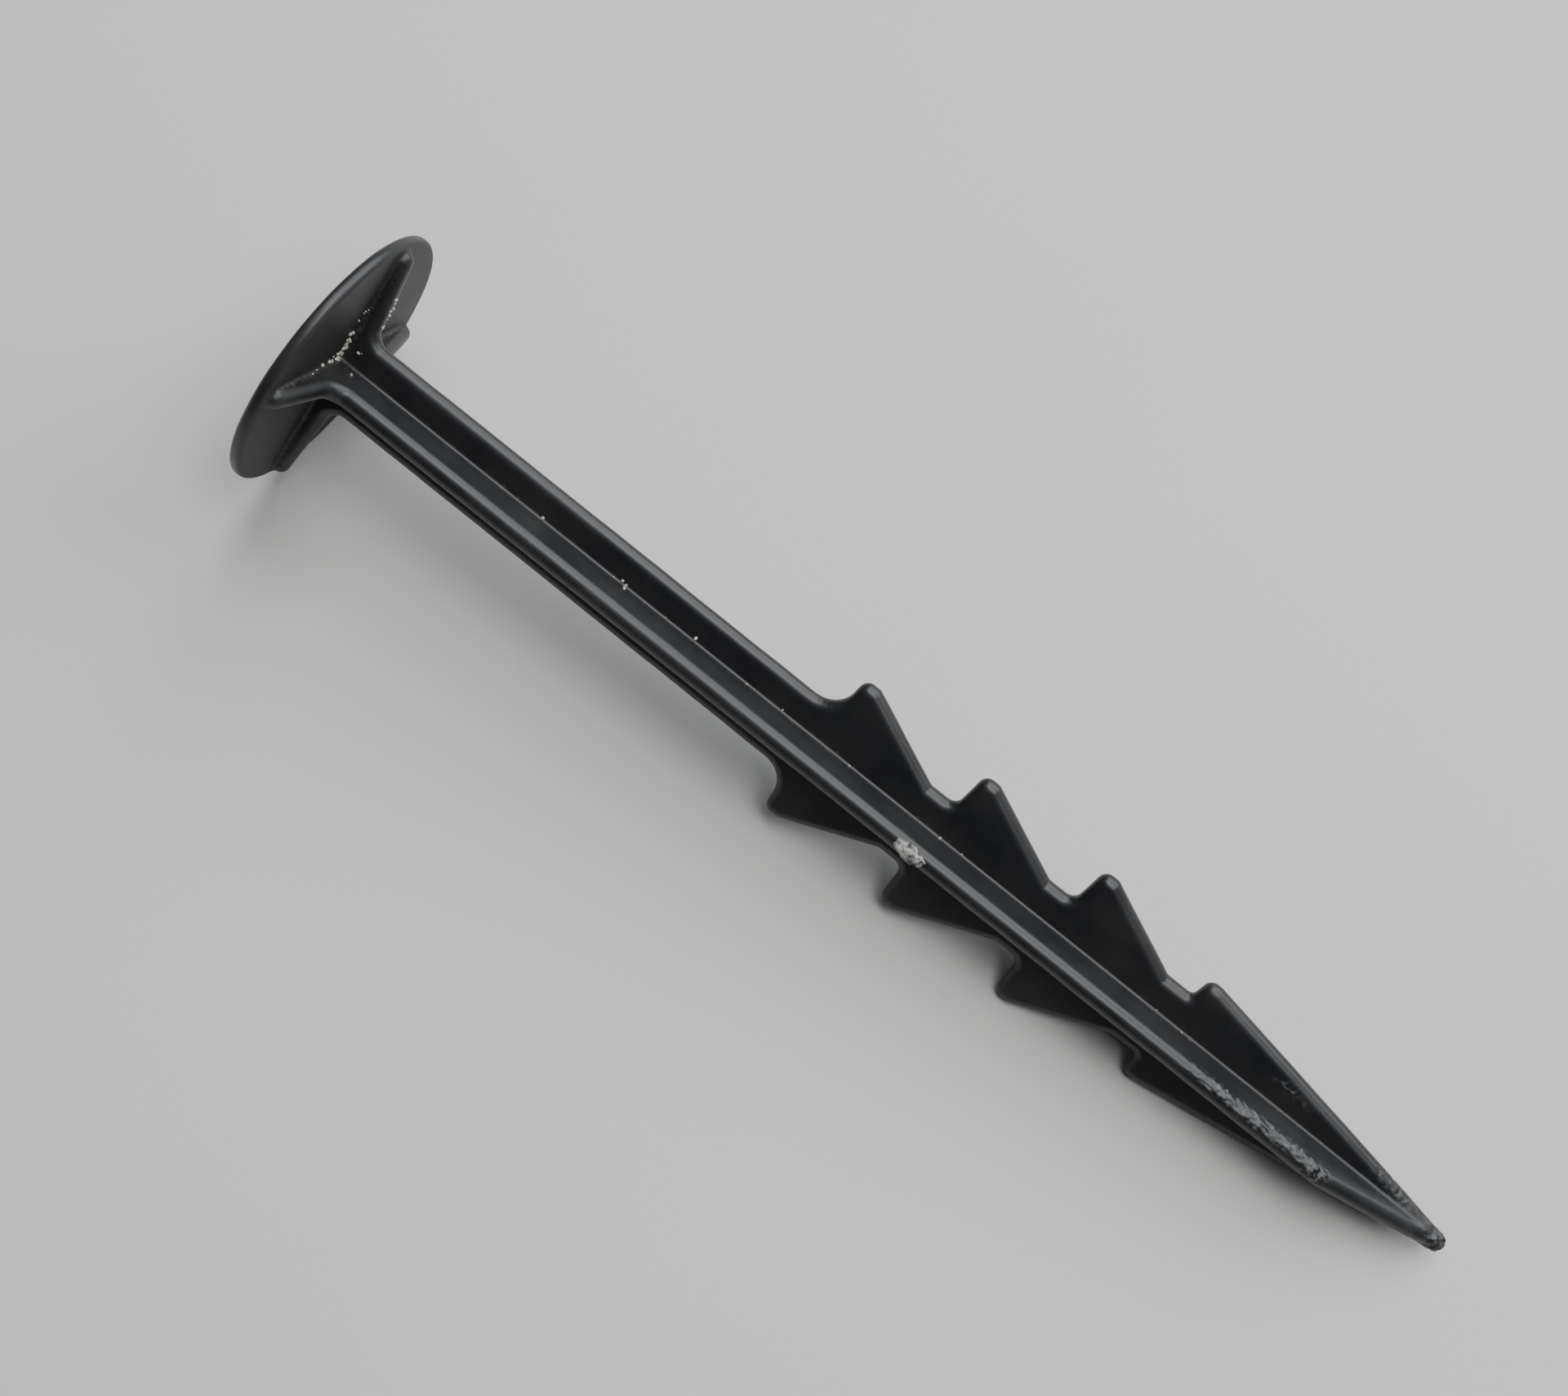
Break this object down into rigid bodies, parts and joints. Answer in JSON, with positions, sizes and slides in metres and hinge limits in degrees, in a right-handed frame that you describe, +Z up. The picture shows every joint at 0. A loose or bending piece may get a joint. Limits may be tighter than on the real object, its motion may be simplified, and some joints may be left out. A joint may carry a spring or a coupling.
{
  "type": "tent stake",
  "caption": "One-piece barbed plastic ground stake with a flat round strike head, gusset braces, a cross-ribbed shaft, back-facing barbs and a blunt tapered point.",
  "frame": {"origin": "centre of the footprint of the stake lying at rest, at the height of the ground it lies on", "axes": "+X from the head towards the tip, +Y across, +Z up; the shaft dips towards the tip because the head's rim holds its end up"},
  "size_m": [0.201, 0.042, 0.0419],
  "materials": {
    "black_plastic": "satin moulded black polypropylene, scuffed and dusty",
    "torn_plastic": "stress-whitened torn gate stub"
  },
  "bodies": {
    "root": {"head_disc": "black_plastic", "gusset_a": "black_plastic", "gusset_b": "black_plastic", "gusset_c": "black_plastic", "gusset_d": "black_plastic", "core": "black_plastic", "rib_a": "black_plastic", "rib_b": "black_plastic", "rib_c": "black_plastic", "rib_d": "black_plastic", "web_a": "black_plastic", "web_c": "black_plastic", "barb_a1": "black_plastic", "barb_a2": "black_plastic", "barb_a3": "black_plastic", "barb_a4": "black_plastic", "barb_c1": "black_plastic", "barb_c2": "black_plastic", "barb_c3": "black_plastic", "barb_c4": "black_plastic", "point": "black_plastic", "gate_mark": "torn_plastic"}
  },
  "joints": []
}
